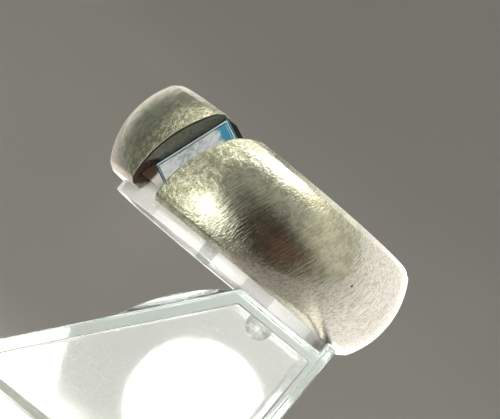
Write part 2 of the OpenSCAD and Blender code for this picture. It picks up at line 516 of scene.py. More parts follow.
@dataclass
class Band:
    """The wide domed band, open at the slot, with the stone's seat soldered in."""

    slot: Slot
    stone: Stone
    crown_r: float
    bore_r: float = BORE_R
    dome_foot: float = 1.25
    dome_rise: float = 1.19
    rim_bevel_h: float = 0.36
    rim_bevel_t: float = 0.26
    bore_bevel: float = 0.12
    lip_round: float = 0.05
    bevel_round: float = 0.08
    worn_edge: float = 0.07
    longest_step: float = 0.3
    dome_pieces: int = 88
    stations: int = 272
    wall_rings: int = 9
    edge_rings: int = 4
    bore_sides: int = 256
    hand_wave: float = 0.012
    scorch_at: tuple[float, float] = (9.95, -2.45)
    seat_foot: float = 4.0
    seat_bar: float = 0.3
    seat_drop: float = 0.4
    seat_low: float = 2.85
    seat_root: float = 0.3
    window: tuple[float, float] = (1.3, 4.4)

    def section(self) -> Outline:
        """Draws the band's section: flat inside, domed outside.

        Returns:
            The section's (radius, height) points.
        """
        half_w = self.slot.half_w
        foot = self.bore_r + self.dome_foot
        dome_r = (half_w ** 2 + self.dome_rise ** 2) / (2 * self.dome_rise)
        top = half_w - self.rim_bevel_h
        lower = [Vector((self.bore_r, self.bore_bevel - half_w)),
                 Vector((self.bore_r + self.bore_bevel, -half_w)),
                 Vector((foot - self.rim_bevel_t, -half_w))]
        dome = []
        for k in range(self.dome_pieces + 1):
            z = top * (2 * k / self.dome_pieces - 1)
            dome.append(Vector((self.crown_r - dome_r + math.sqrt(dome_r ** 2 - z ** 2), z)))
        upper = [Vector((p.x, -p.y)) for p in reversed(lower)]
        corners = lower + dome + upper
        rounds = [self.lip_round, self.lip_round, self.bevel_round]
        radii = rounds + [0.0] * len(dome) + rounds[::-1]
        return subdivided(rounded(corners, radii, 3), self.longest_step)

    def wave(self, r: float, z: float, angle: float) -> float:
        """Finds how far hand filing leaves the surface off its true radius.

        Args:
            r: the true radius.
            z: the height above the band's middle.
            angle: the way round from the slot's middle.

        Returns:
            The change of radius.
        """
        share = smoothstep(self.bore_r + 0.4, self.bore_r + 1.2, r)
        around = Vector((math.cos(angle), math.sin(angle), z / self.crown_r))
        slow = noise.noise(around * 3.1) + 0.5 * noise.noise(around * 9.0)
        return share * self.hand_wave * slow

    def spot(self, p: Vector, angle: float, length: float, **marks: float) -> Spot:
        """Makes a point of the band.

        Args:
            p: the point's (radius, height) in the section.
            angle: its way round from the slot's middle.
            length: its place along the section, for the brush marks.
            marks: wall and polish there.

        Returns:
            The spot, in the row frame.
        """
        r = p.x + self.wave(p.x, p.y, angle)
        world = angle - self.slot.azimuth
        place = Vector((r * math.sin(world), -r * math.cos(world), p.y + self.slot.band_z))
        wrap = Vector((world * self.crown_r, length, p.x - self.bore_r))
        return Spot(place, wrap, **marks)

    def scorch_place(self) -> Vector:
        """Finds the middle of the burnt patch, low on the short end's slot wall.

        Returns:
            The point in the row frame.
        """
        r, z = self.scorch_at
        world = self.slot.wall_angle(r, z, Side.CAP, 0.0) - self.slot.azimuth
        return Vector((r * math.sin(world), -r * math.cos(world), z + self.slot.band_z))

    def rim_polish(self, p: Vector) -> float:
        """Returns how polished a point of the section is: its rims are, where skin and cloth rub."""
        return smoothstep(self.slot.half_w - self.rim_bevel_h - 0.1, self.slot.half_w - 0.12, abs(p.y))

    def wall(self, outline: Outline, side: Side) -> list[list[Spot]]:
        """Makes the rings of a slot wall, from its middle out to its edge.

        Args:
            outline: the wall's own outline.
            side: which wall.

        Returns:
            The rings in order.
        """
        centre = Vector((self.bore_r + 1.1, 0.0))
        rings = []
        for j in range(1, self.wall_rings + 1):
            share = (j / (self.wall_rings + 0.35)) ** 0.8
            ring = []
            for p in outline:
                q = centre.lerp(p, share)
                angle = self.slot.wall_angle(q.x, q.y, side, 0.0)
                ring.append(self.spot(q, angle, q.y, wall=1.0))
            rings.append(ring)
        return rings

    def edge(self, outline: Outline, side: Side) -> list[list[Spot]]:
        """Makes the rings of the worn edge between a slot wall and the outside.

        Args:
            outline: the band's section.
            side: which wall.

        Returns:
            The rings in order, from the wall outwards.
        """
        rings = []
        for depth, back in edge_rounding(self.worn_edge, self.edge_rings):
            ring = []
            for p in inset(outline, depth):
                angle = self.slot.wall_angle(p.x, p.y, side, back)
                ring.append(self.spot(p, angle, p.y, wall=1 - back / self.worn_edge, polish=0.6))
            rings.append(ring)
        return rings

    def sweep(self, outline: Outline) -> list[list[Spot]]:
        """Makes the rings that run round the finger from one worn edge to the other.

        Args:
            outline: the band's section.

        Returns:
            The rings in order, from the main body's wall round to the short end's.
        """
        ends = [(self.slot.wall_angle(p.x, p.y, Side.MAIN, self.worn_edge),
                 self.slot.wall_angle(p.x, p.y, Side.CAP, self.worn_edge)) for p in outline]
        rings = []
        for i in range(1, self.stations):
            share = i / self.stations
            ring = [self.spot(p, first + (last - first) * share, p.y, polish=self.rim_polish(p))
                    for p, (first, last) in zip(outline, ends)]
            rings.append(ring)
        return rings

    def seat(self) -> Piece:
        """Makes the stone's seat: rails under its girdle and a bar at each end.

        Returns:
            The seat as an object.
        """
        place = self.stone.frame()
        half_x = self.slot.width / 2 + self.seat_root
        floor = -self.stone.table_lift - 1.0
        end = self.stone.length / 2 + self.seat_bar
        seat = cuboid("seat", place, Vector((-half_x, -self.seat_foot, floor)),
                      Vector((half_x, end, -self.seat_drop)))
        low = self.slot.band_z - self.seat_low
        high = self.slot.band_z + self.slot.half_w - self.bore_bevel
        reach = self.crown_r
        slab = cuboid("slab", Matrix(), Vector((-reach, -reach, low)), Vector((reach, reach, high)))
        combine(seat, slab, Join.KEEP)
        combine(seat, self.bore_plug(), Join.CUT)
        combine(seat, self.stone.solid("stone_cut", self.stone.gap), Join.CUT)
        wide, long = self.window
        window = cuboid("window", place, Vector((-wide / 2, -long / 2, -3.0)),
                        Vector((wide / 2, long / 2, 3.0)))
        combine(seat, window, Join.CUT)
        return seat

    def bore_plug(self) -> Piece:
        """Makes a plug as wide as the finger hole, to cut the seat's underside with.

        Returns:
            The plug as an object.
        """
        heights = (self.slot.band_z - 2 * self.slot.half_w, self.slot.band_z + 2 * self.slot.half_w)
        profile = [Vector((self.bore_r, z)) for z in heights]
        return make_object("plug", *loft(lathe(profile, self.bore_sides, Vector())))

    def mark_slot(self, band: Piece) -> None:
        """Marks as slot wall the corners that the joining of the seat made there.

        Args:
            band: the band, with its seat joined on.
        """
        back = self.slot.frame().inverted()
        half_w = self.slot.width / 2 + 0.001
        marks = band.data.attributes
        for vertex, wall, wrap in zip(band.data.vertices, marks["wall"].data, marks["wrap"].data):
            place = vertex.co / MM
            across = back @ place
            if across.z > 0 and abs(across.x) <= half_w:
                wall.value = 1.0
                turn = math.atan2(place.x, -place.y) + (2 * math.pi if across.x < 0 else 0.0)
                wrap.vector = (turn * self.crown_r, place.z - self.slot.band_z,
                               place.xy.length - self.bore_r)

    def build(self) -> Piece:
        """Makes the whole band as one solid.

        Returns:
            The band as an object.
        """
        outline = self.section()
        edge_line = inset(outline, self.worn_edge)
        rings = self.wall(edge_line, Side.MAIN)
        rings += self.edge(outline, Side.MAIN)
        rings += self.sweep(outline)
        rings += reversed(self.edge(outline, Side.CAP))
        rings += reversed(self.wall(edge_line, Side.CAP))
        band = make_object("silver_band", *loft(rings))
        combine(band, self.seat(), Join.ADD)
        self.mark_slot(band)
        shade(band, 32)
        return band


@dataclass
class ClipTube:
    """The short clear tube that goes up the finger hole."""

    low: Vector
    high: Vector
    wall: float = 0.83
    edge: float = 0.1
    waver: float = 0.012
    sides: int = 224

    def build(self) -> Piece:
        """Makes the tube, a little out of round as moulded plastic is.

        Returns:
            The tube as an object.
        """
        outer = self.high.y
        inner = outer - self.wall
        corners = [Vector((inner, self.low.z)), Vector((outer, self.low.z)),
                   Vector((outer, self.high.z)), Vector((inner, self.high.z))]
        profile = subdivided(rounded(corners, [self.edge] * 4, 4), 0.4)

        def wobble(angle: float, p: Vector) -> float:
            """Returns how far in the plastic lies at an angle and a profile point."""
            around = Vector((math.cos(angle) * 2.2, math.sin(angle) * 2.2, p.y * 0.35))
            return self.waver * noise.noise(around) - self.waver

        tube = make_object("clear_tube", *revolve(profile, self.sides, wobble))
        shade(tube, 40)
        keep_flats(tube)
        return tube


@dataclass
class StandBase:
    """The hollow clear wedge, with its flat top, raised ledge, swell and boss."""

    low: Vector
    high: Vector
    tube_r: float
    wall: float = 0.87
    land_z: float = 15.4
    land_left: float = 1.95
    toe_h: float = 0.45
    ledge_w: float = 0.85
    edge: float = 0.13
    outline_radii: tuple[float, ...] = (0.22, 0.22, 0.22, 0.22, 0.08, 0.3, 0.25)
    hollow_radii: tuple[float, ...] = (0.0, 0.0, 0.25, 0.4)
    hollow_edge: float = 0.2
    swell_rise: float = 0.56
    swell_chord: float = 7.9
    swell_margin: float = 1.15
    swell_place: float = 0.773
    boss_r: float = 0.95
    boss_drop: float = 0.3
    boss_place: tuple[float, float] = (4.5, -5.6)
    boss_pieces: int = 14
    boss_sides: int = 64
    slope_pieces: int = 64
    stations: int = 96
    hollow_stations: int = 16

    @property
    def slope(self) -> Vector:
        """The slope's run and rise, from its foot to the flat top."""
        return Vector((self.land_left - self.low.x, self.land_z - self.toe_h))

    def swell(self, along: float, y: float) -> float:
        """Finds how far the swell stands out of the slope.

        Args:
            along: the way up the slope from its foot.
            y: the depth.

        Returns:
            The height above the slope, which is 0 outside the swell.
        """
        chord, rise = self.swell_chord, self.swell_rise
        radius = (chord ** 2 / 4 + rise ** 2) / (2 * rise)
        off = along - self.swell_place * self.slope.length
        if abs(off) >= chord / 2:
            return 0.0
        share = smoothstep(self.swell_margin - 0.15, self.swell_margin + 0.25, self.high.y - abs(y))
        return share * (math.sqrt(radius ** 2 - off ** 2) - radius + rise)

    def outline(self, y: float) -> Outline:
        """Draws the side view at one depth.

        Args:
            y: the depth.

        Returns:
            The side view's (x, z) points, anticlockwise.
        """
        left, right, foot = self.low.x, self.high.x, self.low.z
        inner = right - self.ledge_w
        if abs(y) < self.tube_r:
            inner = min(max(inner, math.sqrt(self.tube_r ** 2 - y ** 2)), right - 0.3)
        corners = [Vector((left, foot)), Vector((right, foot)), Vector((right, self.high.z)),
                   Vector((inner, self.high.z)), Vector((inner, self.land_z)),
                   Vector((self.land_left, self.land_z)), Vector((left, self.toe_h))]
        points = rounded(corners, self.outline_radii)
        up = self.slope.normalized()
        out = Vector((-up.y, up.x))
        top, toe = points[-6], points[-5]
        slope_points = [top.lerp(toe, k / self.slope_pieces) for k in range(1, self.slope_pieces)]
        lifted = [p + out * self.swell((p - corners[6]).dot(up), y) for p in slope_points]
        return points[:-5] + lifted + points[-5:]

    def shell(self) -> Piece:
        """Makes the outside of the wedge as a solid.

        Returns:
            The solid as an object.
        """
        half = self.high.y
        flat = self.edge + 0.05
        levels = [(flat, half)] + through_levels(half, self.edge, self.stations) + [(flat, -half)]
        return make_object("clear_stand", *swept(self.outline, levels))

    def hollow(self) -> Piece:
        """Makes the hollow, one wall in from the outside and open below.

        Returns:
            The solid that the hollow is cut with.
        """
        ceiling = self.land_z - self.wall
        drop = self.wall * self.slope.length / self.slope.x
        lean = self.slope.y / self.slope.x
        below = self.low.z - 1.0

        def slope_x(z: float) -> float:
            """Returns where the hollow's sloping face lies at a height."""
            return (z + drop - self.toe_h) / lean + self.low.x

        right = self.high.x - self.wall
        corners = [Vector((slope_x(below), below)), Vector((right, below)),
                   Vector((right, ceiling)), Vector((slope_x(ceiling), ceiling))]
        outline = subdivided(rounded(corners, self.hollow_radii, 6), 1.2)
        levels = through_levels(self.high.y - self.wall, self.hollow_edge, self.hollow_stations)
        return make_object("hollow", *swept(lambda y: outline, levels))

    def boss(self) -> Piece:
        """Makes the round boss under the flat top, like a hanging drop.

        Returns:
            The boss as an object.
        """
        r = self.boss_r
        bottom = self.land_z - self.wall - self.boss_drop
        top = self.land_z - self.wall / 2
        tip = 0.004
        profile = [Vector((tip, bottom - r))]
        for k in range(1, self.boss_pieces + 1):
            a = math.pi / 2 * k / self.boss_pieces
            profile.append(Vector((r * math.sin(a), bottom - r * math.cos(a))))
        profile += [Vector((r, top)), Vector((tip, top))]
        return make_object("boss", *loft(lathe(profile, self.boss_sides, Vector((*self.boss_place, 0)))))

    def build(self) -> Piece:
        """Makes the stand's base as one solid.

        Returns:
            The base as an object.
        """
        base = self.shell()
        combine(base, self.hollow(), Join.CUT)
        combine(base, self.boss(), Join.ADD)
        shade(base, 32)
        keep_flats(base)
        return base


class Graph:
    """A shader tree written node by node, whose inputs are values or other nodes' sockets."""

    def __init__(self, tree: bpy.types.NodeTree) -> None:
        """Starts writing in a node tree."""
        self.tree = tree

    def feed(self, node: bpy.types.Node, inputs: dict) -> bpy.types.Node:
        """Gives a node its inputs.

        Args:
            node: the node.
            inputs: a value or a socket for each named or numbered input.

        Returns:
            The same node.
        """
        for name, value in inputs.items():
            if isinstance(value, Socket):
                self.tree.links.new(value, node.inputs[name])
            else:
                node.inputs[name].default_value = value
        return node

    def add(self, kind: str, inputs: dict | None = None, **settings: object) -> bpy.types.Node:
        """Adds a node.

        Args:
            kind: the node's type, without ShaderNode.
            inputs: a value or a socket for each named or numbered input.
            settings: the node's own properties.

        Returns:
            The new node.
        """
        node = self.tree.nodes.new("ShaderNode" + kind)
        for name, value in settings.items():
            setattr(node, name, value)
        return self.feed(node, inputs or {})

    def math(self, how: str, *values: Value, clamp: bool = False) -> Socket:
        """Adds a Math node and returns its output."""
        return self.add("Math", dict(enumerate(values)), operation=how, use_clamp=clamp).outputs[0]

    def plus(self, a: Value, b: Value) -> Socket:
        """Adds two values."""
        return self.math("ADD", a, b)

    def minus(self, a: Value, b: Value) -> Socket:
        """Takes b from a."""
        return self.math("SUBTRACT", a, b)

    def times(self, a: Value, b: Value, clamp: bool = False) -> Socket:
        """Multiplies two values."""
        return self.math("MULTIPLY", a, b, clamp=clamp)

    def times_plus(self, a: Value, b: Value, c: Value) -> Socket:
        """Multiplies a and b, and adds c."""
        return self.math("MULTIPLY_ADD", a, b, c)

    def larger(self, a: Value, b: Value, clamp: bool = False) -> Socket:
        """Keeps the larger of two values."""
        return self.math("MAXIMUM", a, b, clamp=clamp)

    def vector(self, how: str, a: Triple, b: Triple) -> Socket:
        """Adds a Vector Math node of two vectors and returns its vector."""
        return self.add("VectorMath", {0: a, 1: b}, operation=how).outputs[0]

    def scaled(self, vector: Triple, scale: Value) -> Socket:
        """Multiplies a vector by a value."""
        return self.add("VectorMath", {0: vector, "Scale": scale}, operation="SCALE").outputs[0]

    def length(self, vector: Socket) -> Socket:
        """Measures a vector."""
        return self.add("VectorMath", {0: vector}, operation="LENGTH").outputs["Value"]

    def split(self, vector: Socket) -> tuple[Socket, ...]:
        """Returns a vector's three parts."""
        return tuple(self.add("SeparateXYZ", {0: vector}).outputs)

    def joined(self, *parts: Value) -> Socket:
        """Makes a vector of its parts."""
        return self.add("CombineXYZ", dict(enumerate(parts))).outputs[0]

    def ease(self, value: Value, low: Value, high: Value, start: Value = 0.0, end: Value = 1.0) -> Socket:
        """Maps value smoothly from low..high to start..end."""
        inputs = {"Value": value, "From Min": low, "From Max": high, "To Min": start, "To Max": end}
        return self.add("MapRange", inputs, interpolation_type="SMOOTHSTEP").outputs["Result"]

    def inside(self, value: Socket, low: float, high: float, soft: float) -> Socket:
        """Masks low..high, easing over soft on both sides of each end."""
        begun = self.ease(value, low - soft, low + soft)
        return self.times(begun, self.ease(value, high + soft, high - soft))

    def mix(self, share: Value, a: Paint, b: Paint) -> Socket:
        """Mixes two colours."""
        return self.add("Mix", {0: share, 6: a, 7: b}, data_type="RGBA").outputs[2]

    def blend(self, share: Value, a: Value, b: Value) -> Socket:
        """Mixes two values."""
        return self.add("Mix", {0: share, 2: a, 3: b}).outputs[0]

    def noise(self, vector: Socket, scale: float, detail: float = 2.0, rough: float = 0.5) -> Socket:
        """Adds a Noise Texture and returns its value."""
        inputs = {"Vector": vector, "Scale": scale, "Detail": detail, "Roughness": rough}
        return self.add("TexNoise", inputs).outputs[0]

    def attribute(self, name: str, output: str = "Fac") -> Socket:
        """Reads a mesh attribute."""
        return self.add("Attribute", attribute_name=name).outputs[output]

    def millimetres(self) -> Socket:
        """Returns the object's own coordinates in millimetres."""
        return self.scaled(self.add("TexCoord").outputs["Object"], 1 / MM)

    def bump(self, height: Socket, strength: float, depth: float) -> Socket:
        """Turns a height into a normal; depth is how deep it goes in millimetres."""
        inputs = {"Height": height, "Strength": strength, "Distance": depth * MM}
        return self.add("Bump", inputs).outputs[0]


def new_group(name: str, inputs: dict[str, str],
              outputs: list[str]) -> tuple[Graph, bpy.types.Node, bpy.types.Node]:
    """Starts a node group.

    Args:
        name: the group's name.
        inputs: each input's name and whether it is a Vector or a Float.
        outputs: the names of its outputs, all values.

    Returns:
        The group's graph, its input node and its output node.
    """
    tree = bpy.data.node_groups.new(name, "ShaderNodeTree")
    for label, kind in inputs.items():
        tree.interface.new_socket(name=label, in_out="INPUT", socket_type="NodeSocket" + kind)
    for label in outputs:
        tree.interface.new_socket(name=label, in_out="OUTPUT", socket_type="NodeSocketFloat")
    return Graph(tree), tree.nodes.new("NodeGroupInput"), tree.nodes.new("NodeGroupOutput")


def brush_group() -> bpy.types.NodeTree:
    """Makes brush marks on a surface measured in millimetres.

    Returns:
        The group, which puts out their height and their deepest scratches.
    """
    inputs = {"Vector": "Vector", "Angle": "Float", "Length": "Float", "Width": "Float"}
    g, given, out = new_group("brush_marks", inputs, ["Height", "Scratches"])
    turned = g.add("VectorRotate", {"Vector": given.outputs["Vector"], "Angle": given.outputs["Angle"]},
                   rotation_type="Z_AXIS").outputs[0]
    along = g.math("DIVIDE", 1.0, given.outputs["Length"])
    across = g.math("DIVIDE", 1.0, given.outputs["Width"])
    drawn = g.vector("MULTIPLY", turned, g.joined(along, across, across))
    sparse = g.noise(g.vector("MULTIPLY", drawn, (0.5, 0.8, 0.8)), 1.0, 1.0)
    g.feed(out, {"Height": g.noise(drawn, 1.0, 3.0, 0.6), "Scratches": g.ease(sparse, 0.66, 0.74)})
    return g.tree


def speckle_group() -> bpy.types.NodeTree:
    """Makes fine grains, as a rubbed or dusty surface has.

    Returns:
        The group, which puts out their height.
    """
    g, given, out = new_group("speckle", {"Vector": "Vector", "Size": "Float"}, ["Height"])
    spread = g.scaled(given.outputs["Vector"], g.math("DIVIDE", 1.0, given.outputs["Size"]))
    g.feed(out, {"Height": g.noise(spread, 1.0, 4.0, 0.7)})
    return g.tree


@dataclass(frozen=True)
class Groups:
    """The effects that several finishes share."""

    brush: bpy.types.NodeTree
    speckle: bpy.types.NodeTree

    def grains(self, g: Graph, vector: Socket, size: float) -> Socket:
        """Draws grains of a size in millimetres and returns their height."""
        return g.add("Group", {"Vector": vector, "Size": size}, node_tree=self.speckle).outputs["Height"]


@dataclass(frozen=True)
class Brush:
    """Brush marks: the way that they run, in radians, and their length and width in millimetres."""

    angle: float
    length: float
    width: float

    def draw(self, g: Graph, groups: Groups, vector: Socket) -> tuple[Socket, ...]:
        """Draws the marks and returns their height and their deepest scratches."""
        inputs = {"Vector": vector, "Angle": self.angle, "Length": self.length, "Width": self.width}
        return tuple(g.add("Group", inputs, node_tree=groups.brush).outputs)


def new_material(name: str) -> tuple[bpy.types.Material, Graph]:
    """Starts a material with an empty node tree.

    Args:
        name: the material's name.

    Returns:
        The material and its graph.
    """
    material = bpy.data.materials.new(name)
    material.use_nodes = True
    material.node_tree.nodes.clear()
    return material, Graph(material.node_tree)


def close_material(g: Graph, surface: dict, inside: bpy.types.Node | None = None) -> None:
    """Ends a material.

    Args:
        g: the material's graph.
        surface: the inputs of its Principled shader.
        inside: the shader of what lies under the surface, if there is one.
    """
    shader = g.add("BsdfPrincipled", surface)
    out = g.add("OutputMaterial", {"Surface": shader.outputs[0]})
    if inside:
        g.feed(out, {"Volume": inside.outputs[0]})


@dataclass(frozen=True)
class SilverMasks:
    """What the silver's finish reads at each point of the band."""

    wrap: Socket
    around: Socket
    height: Socket
    depth: Socket
    wall: Socket
    polish: Socket
    seat: Socket
    matt: Socket
    near: Socket
    scorch: Socket
    pit: Socket
    marks: Socket
    grain: Socket
    clumps: Socket


@dataclass(frozen=True)
class SatinSilver:
    """Hand-brushed silver with a greenish cast, matt and pinkish round the back, burnt in one corner."""

    scorch_place: Vector
    cool: Colour = (0.80, 0.82, 0.64, 1.0)
    warm: Colour = (0.88, 0.79, 0.63, 1.0)
    # The matt zone's darker and lighter colours, mixed along the brush marks: worn metal, with painted shade
    # and painted highlight on the marks.
    worn: Colour = (0.76, 0.67, 0.53, 1.0)
    chalk: Colour = (1.0, 0.97, 0.89, 1.0)
    # Tarnished blotches, and painted shade in the darkest brush marks.
    tarnish_and_shade: Colour = (0.38, 0.34, 0.25, 1.0)
    oxide: Colour = (0.13, 0.135, 0.108, 1.0)
    brassy: Colour = (0.50, 0.46, 0.24, 1.0)
    burnt: Colour = (0.075, 0.045, 0.029, 1.0)
    # Black: the burnt patch's sooty tip, and painted shade under the dome's edge, up the seat and in the pit.
    soot_and_shade: Colour = (0.012, 0.010, 0.009, 1.0)
    bare_seat: Colour = (0.40, 0.38, 0.34, 1.0)
    straight: Brush = Brush(math.radians(-69.5), 1.8, 0.14)
    swept: Brush = Brush(0.0, 1.0, 0.09)
    crossed: Brush = Brush(math.radians(-20), 0.6, 0.13)
    crossed_share: float = 0.2
    grain_size: float = 0.12
    clump_size: float = 0.36
    cloud_scale: float = 0.33
    blotch_scale: float = 1.3
    roughness: float = 0.15
    matt_roughness: float = 0.4
    dirty_roughness: float = 0.55
    burnt_roughness: float = 0.85
    relief_depth: float = 0.028
    hammered: float = 3.0
    dome: tuple[float, float] = (2.44, 6.35)
    matt_from: float = 7.3
    matt_to: float = 55.7
    matt_wander: float = 2.4
    slot_main: float = -6.4
    slot_cap: float = 62.7
    slot_lean: float = 0.374
    arc_centre: tuple[float, float] = (-1.4, 2.1)
    arc_stretch: float = 11.0
    pit_place: tuple[float, float] = (8.16, 0.17)
    pit_r: float = 0.1
    scorch_r: float = 1.0
    scorch_squash: float = 0.7

    def matt_mask(self, g: Graph, around: Socket, height: Socket, wander: Socket) -> Socket:
        """Masks the matt zone: it runs round the back and creeps along the lower rim.

        Args:
            g: the material's graph.
            around: the way round the band.
            height: the height above its middle.
            wander: how far the zone's edges stray from their line.

        Returns:
            The mask.
        """
        low = g.larger(g.minus(0.6, height), 0.0)
        creep = g.times(low, low)
        first = g.plus(g.times_plus(creep, 0.5, around), wander)
        last = g.plus(g.times_plus(creep, -0.3, around), wander)
        begun = g.ease(first, self.matt_from - 0.7, self.matt_from + 0.7)
        return g.times(begun, g.ease(last, self.matt_to + 0.4, self.matt_to - 0.4))

    def near_slot(self, g: Graph, around: Socket, height: Socket) -> Socket:
        """Masks the metal on both sides of the slot, which hammering and heat left grainy.

        Args:
            g: the material's graph.
            around: the way round the band.
            height: the height above its middle.

        Returns:
            The mask.
        """
        level = g.times_plus(height, -self.slot_lean, around)
        main = g.ease(level, self.slot_main + 4.2, self.slot_main + 1.2)
        return g.larger(main, g.ease(level, self.slot_cap - 3.2, self.slot_cap - 1.2))

    def arcs(self, g: Graph, wrap: Socket) -> Socket:
        """Bends the brush marks about the wrist of a hand that sanded in arcs.

        Args:
            g: the material's graph.
            wrap: the way round the band, the height above its middle and the depth of metal.

        Returns:
            The way along an arc, its radius and the depth of metal.
        """
        x, y, depth = g.split(g.vector("SUBTRACT", wrap, (*self.arc_centre, 0.0)))
        turn = g.math("ARCTAN2", y, x)
        return g.joined(g.times(turn, self.arc_stretch), g.length(g.joined(x, y)), depth)

    def scorched(self, g: Graph, grain: Socket) -> Socket:
        """Masks the burnt patch, with a ragged edge.

        Args:
            g: the material's graph.
            grain: the grains that make its edge ragged.

        Returns:
            The mask.
        """
        off = g.vector("SUBTRACT", g.millimetres(), tuple(self.scorch_place))
        off = g.vector("MULTIPLY", off, (1.0, 1.0, self.scorch_squash))
        ragged = g.times_plus(grain, 0.5, g.length(off))
        return g.ease(ragged, self.scorch_r + 0.35, self.scorch_r + 0.1)

    def under_edge(self, g: Graph, at: SilverMasks) -> Socket:
        """Masks the painted shade on the slot's walls: a black line just under the dome's edge.

        Args:
            g: the material's graph.
            at: what the finish reads at each point.

        Returns:
            The mask.
        """
        top, radius = self.dome
        surface = g.times_plus(g.times(at.height, at.height), -0.5 / radius, top)
        below = g.minus(surface, at.depth)
        return g.times(g.ease(at.wall, 0.6, 1.0), g.ease(below, 0.24, 0.14))

    def pit(self, g: Graph, wrap: Socket) -> Socket:
        """Masks one casting pit.

        Args:
            g: the material's graph.
            wrap: the way round the band, the height above its middle and the depth of metal.

        Returns:
            The mask.
        """
        off = g.vector("SUBTRACT", wrap, (*self.pit_place, 0.0))
        off = g.vector("MULTIPLY", off, (1.0, 0.8, 0.0))
        return g.ease(g.length(off), self.pit_r, 0.5 * self.pit_r)

    def read(self, g: Graph, groups: Groups) -> SilverMasks:
        """Reads the band's attributes, and draws the marks and masks that the finish is made of.

        Args:
            g: the material's graph.
            groups: the effects that several finishes share.

        Returns:
            What the finish reads at each point.
        """
        wrap = g.attribute("wrap", "Vector")
        wall, polish, seat = (g.attribute(name) for name in ("wall", "polish", "seat"))
        around, height, depth = g.split(wrap)
        straight = self.straight.draw(g, groups, wrap)[0]
        swept = self.swept.draw(g, groups, self.arcs(g, wrap))[0]
        crossed = self.crossed.draw(g, groups, wrap)[0]
        grain = groups.grains(g, wrap, self.grain_size)
        wander = g.times(g.minus(straight, 0.5), self.matt_wander)
        matt = self.matt_mask(g, around, height, wander)
        reached = g.larger(g.ease(wall, 0.3, 0.8), seat)
        sanded = g.blend(self.crossed_share, swept, crossed)
        return SilverMasks(wrap, around, height, depth, wall, polish, seat, matt,
                           near=self.near_slot(g, around, height),
                           scorch=g.times(self.scorched(g, grain), reached),
                           pit=self.pit(g, wrap),
                           marks=g.blend(matt, straight, sanded),
                           grain=grain,
                           clumps=groups.grains(g, wrap, self.clump_size))

    def colour(self, g: Graph, at: SilverMasks) -> Socket:
        """Mixes the colour: greenish or matt silver, tarnished blotches, painted light and shade along the
        brush marks, the slot walls' oxide, the burnt patch, and painted shade under the dome's edge, up the
        seat and in the pit.

        Args:
            g: the material's graph.
            at: what the finish reads at each point.

        Returns:
            The colour.
        """
        clouds = g.noise(at.wrap, self.cloud_scale)
        colour = g.mix(g.ease(clouds, 0.45, 0.75, 0.0, 0.3), self.cool, self.warm)
        flecks = g.times(at.near, g.ease(at.clumps, 0.53, 0.46, 0.0, 0.7))
        colour = g.mix(flecks, colour, self.brassy)
        blotch = g.ease(g.noise(at.wrap, self.blotch_scale, 4.0, 0.65), 0.55, 0.42, 0.0, 0.35)
        colour = g.mix(blotch, colour, self.tarnish_and_shade)
        # Painted light and shade: the matt zone is painted darker and lighter along the brush marks and
        # grains.
        mottle_and_mark_shade = g.times_plus(g.minus(at.grain, 0.5), 0.6, at.marks)
        matt_colour = g.mix(g.ease(mottle_and_mark_shade, 0.42, 0.56), self.worn, self.chalk)
        colour = g.mix(at.matt, colour, matt_colour)
        # Painted shade: the darkest brush marks are painted darker everywhere.
        dark = g.ease(mottle_and_mark_shade, 0.5, 0.36, 0.0, g.times_plus(at.matt, -0.06, 0.3))
        colour = g.mix(dark, colour, self.tarnish_and_shade)
        stain = g.ease(at.clumps, 0.4, 0.6, 0.84, 1.0)
        colour = g.mix(g.times(at.wall, stain), colour, self.oxide)
        # Painted shade: a black line on the slot's walls just under the dome's edge.
        colour = g.mix(self.under_edge(g, at), colour, self.soot_and_shade)
        # Painted shade: the seat is painted grey low down, turning black towards its upper end deep in the
        # slot.
        seat_shaded_colour = g.mix(g.ease(at.height, -1.2, 1.6), self.bare_seat, self.soot_and_shade)
        colour = g.mix(at.seat, colour, seat_shaded_colour)
        burnt = g.mix(g.ease(at.grain, 0.4, 0.6), self.soot_and_shade, self.burnt)
        colour = g.mix(at.scorch, colour, burnt)
        # Painted shade: the casting pit is painted black.
        return g.mix(at.pit, colour, self.soot_and_shade)

    def dullness(self, g: Graph, at: SilverMasks) -> Socket:
        """Works out the roughness: least on the polished rims, most in the burnt corner.

        Args:
            g: the material's graph.
            at: what the finish reads at each point.

        Returns:
            The roughness.
        """
        rough = g.ease(at.marks, 0.3, 0.7, self.roughness - 0.04, self.roughness + 0.04)
        rough = g.blend(at.matt, rough, self.matt_roughness)
        rough = g.times(rough, g.ease(at.polish, 0.0, 1.0, 1.0, 0.7))
        rough = g.blend(g.larger(at.wall, at.seat), rough, self.dirty_roughness)
        return g.blend(at.scorch, rough, self.burnt_roughness)

    def relief(self, g: Graph, at: SilverMasks) -> Socket:
        """Raises the brush marks, the grains and the hammered metal by the slot, and sinks the pit.

        Args:
            g: the material's graph.
            at: what the finish reads at each point.

        Returns:
            The normal.
        """
        depth = g.times_plus(at.grain, g.times_plus(at.near, 0.5, 0.4), at.marks)
        depth = g.times_plus(at.clumps, g.times(at.near, self.hammered), depth)
        depth = g.minus(depth, g.times(at.pit, 2.0))
        depth = g.times(depth, g.minus(1.0, at.seat))
        return g.bump(depth, 1.0, self.relief_depth)

    def bare_metal(self, g: Graph, at: SilverMasks) -> Socket:
        """Returns how little the sooty burnt patch, the seat, painted black as painted shade, and the
        oxidised slot walls hide the metal.
        """
        dirt = g.larger(g.larger(at.scorch, at.seat), g.times(at.wall, 0.75))
        return g.minus(1.0, dirt)

    def material(self, groups: Groups) -> bpy.types.Material:
        """Makes the finish.

        Args:
            groups: the effects that several finishes share.

        Returns:
            The finished material.
        """
        material, g = new_material("satin_silver")
        at = self.read(g, groups)
        close_material(g, {
            "Base Color": self.colour(g, at),
            "Roughness": self.dullness(g, at),
            "Metallic": self.bare_metal(g, at),
            "Specular IOR Level": 0.2,
            "Normal": self.relief(g, at),
        })
        return material


